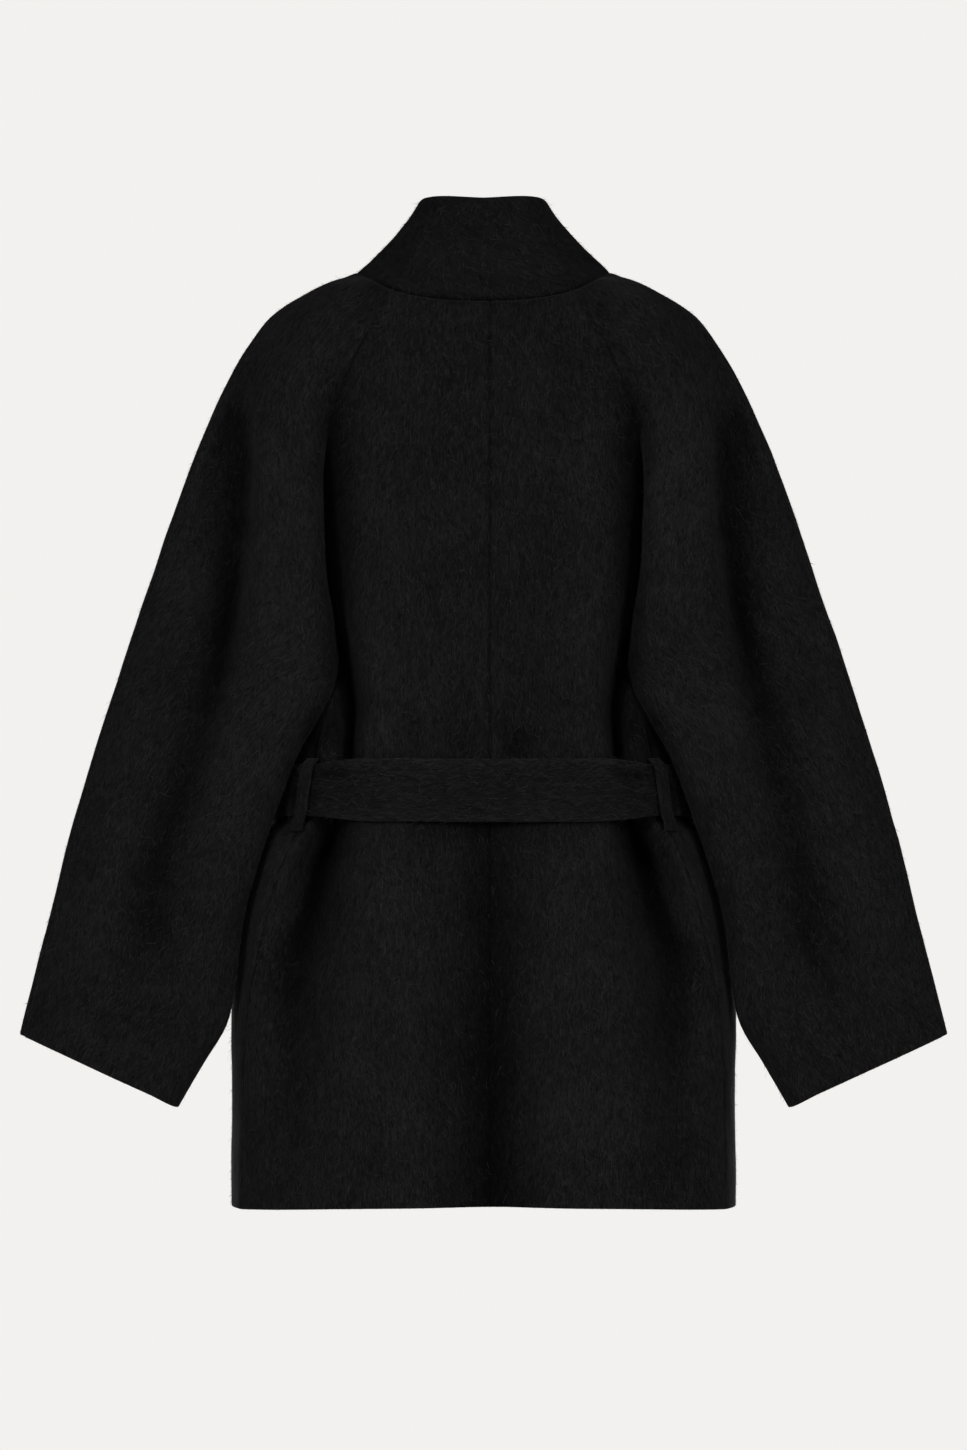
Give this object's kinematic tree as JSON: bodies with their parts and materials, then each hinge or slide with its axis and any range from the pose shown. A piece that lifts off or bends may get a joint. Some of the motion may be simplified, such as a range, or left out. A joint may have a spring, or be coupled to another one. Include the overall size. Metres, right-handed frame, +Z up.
{
  "type": "belted coat",
  "caption": "Short belted wool coat, filled out and hollow, with raglan sleeves, a funnel collar, wrapped fronts and a tie belt carried in side loops.",
  "frame": {"origin": "middle of the neck opening, level with the collar seam at the centre back, where a wearer's neck and shoulders hold the coat", "axes": "+Z up along the coat's length, +Y out of the coat's back, +X towards the coat's left sleeve"},
  "size_m": [0.768, 0.3038, 0.837],
  "materials": {
    "coat_wool": "long-haired brushed wool, the hair lying downwards",
    "belt_wool": "long-haired brushed wool, the hair lying along the belt"
  },
  "bodies": {
    "root": {"back_left": "coat_wool", "back_right": "coat_wool", "front_left": "coat_wool", "front_right": "coat_wool", "sleeve_back_left": "coat_wool", "sleeve_back_right": "coat_wool", "sleeve_front_left": "coat_wool", "sleeve_front_right": "coat_wool", "collar": "coat_wool", "belt_loop_left": "coat_wool", "belt_loop_right": "coat_wool", "belt_round": "belt_wool", "belt_knot": "belt_wool", "belt_tail_left": "belt_wool", "belt_tail_right": "belt_wool"}
  },
  "joints": []
}
